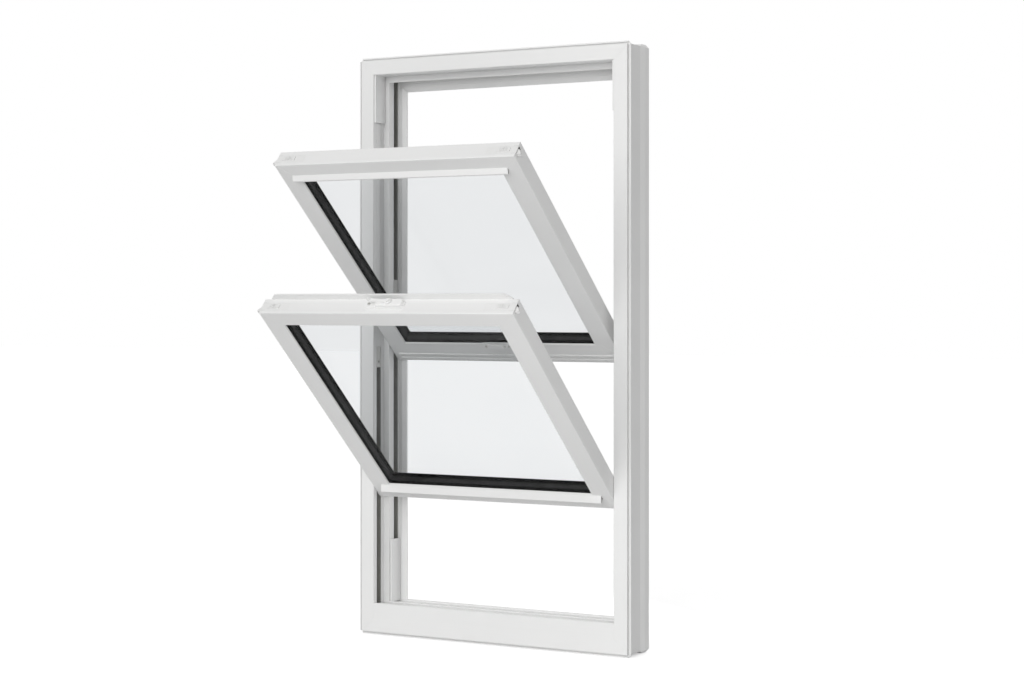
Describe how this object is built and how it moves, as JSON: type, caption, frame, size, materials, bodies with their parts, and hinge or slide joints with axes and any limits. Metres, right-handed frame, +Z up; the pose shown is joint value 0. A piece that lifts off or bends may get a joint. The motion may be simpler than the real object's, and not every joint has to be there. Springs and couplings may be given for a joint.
{
  "type": "double hung window",
  "caption": "White vinyl double hung window with stepped frame, balance channels, and both sashes part open and tilted in on their pivots.",
  "frame": {"origin": "centre of the underside of the sill's rear flange, where the window stands in the wall's opening", "axes": "+X right as seen from the room, +Y towards the weather side, +Z up; the sashes tilt in towards -Y"},
  "size_m": [0.61, 0.4769, 1.168],
  "materials": {
    "frame_vinyl": "satin extruded vinyl",
    "sash_vinyl": "satin extruded vinyl",
    "cover_vinyl": "satin extruded vinyl",
    "bead_vinyl": "satin extruded vinyl",
    "glass": "clear polished float glass",
    "spacer_foam": "matte black foam spacer and sealant",
    "lock_enamel": "semi-gloss white enamel on die cast zinc",
    "latch_plastic": "smooth moulded nylon",
    "shoe_plastic": "matte moulded nylon",
    "coil_plastic": "matte moulded nylon",
    "pivot_steel": "zinc plated steel",
    "pile": "short grey pile weatherstrip",
    "screw_steel": "zinc plated screws",
    "spring_steel": "bare spring steel tape"
  },
  "bodies": {
    "root": {"head": "frame_vinyl", "left_jamb": "frame_vinyl", "left_room_coil": "coil_plastic", "left_room_shoe": "shoe_plastic", "left_room_slot_cover": "cover_vinyl", "left_room_track_cover": "cover_vinyl", "left_weather_coil": "coil_plastic", "left_weather_shoe": "shoe_plastic", "left_weather_track_cover": "cover_vinyl", "lower_bottom_rail": "sash_vinyl", "lower_glass_spacer": "spacer_foam", "lower_glazing_bead": "bead_vinyl", "lower_left_pivot_bar": "pivot_steel", "lower_left_stile": "sash_vinyl", "lower_left_tilt_latch": "latch_plastic", "lower_lock_base": "lock_enamel", "lower_lock_lever": "lock_enamel", "lower_right_pivot_bar": "pivot_steel", "lower_right_stile": "sash_vinyl", "lower_right_tilt_latch": "latch_plastic", "lower_room_pane": "glass", "lower_top_rail": "sash_vinyl", "lower_weather_pane": "glass", "right_jamb": "frame_vinyl", "right_room_coil": "coil_plastic", "right_room_shoe": "shoe_plastic", "right_room_slot_cover": "cover_vinyl", "right_room_track_cover": "cover_vinyl", "right_weather_coil": "coil_plastic", "right_weather_shoe": "shoe_plastic", "right_weather_track_cover": "cover_vinyl", "sill": "frame_vinyl", "upper_bottom_rail": "sash_vinyl", "upper_glass_spacer": "spacer_foam", "upper_glazing_bead": "bead_vinyl", "upper_left_pivot_bar": "pivot_steel", "upper_left_stile": "sash_vinyl", "upper_left_tilt_latch": "latch_plastic", "upper_lock_keeper": "lock_enamel", "upper_right_pivot_bar": "pivot_steel", "upper_right_stile": "sash_vinyl", "upper_right_tilt_latch": "latch_plastic", "upper_room_pane": "glass", "upper_top_rail": "sash_vinyl", "upper_weather_pane": "glass"}
  },
  "joints": []
}
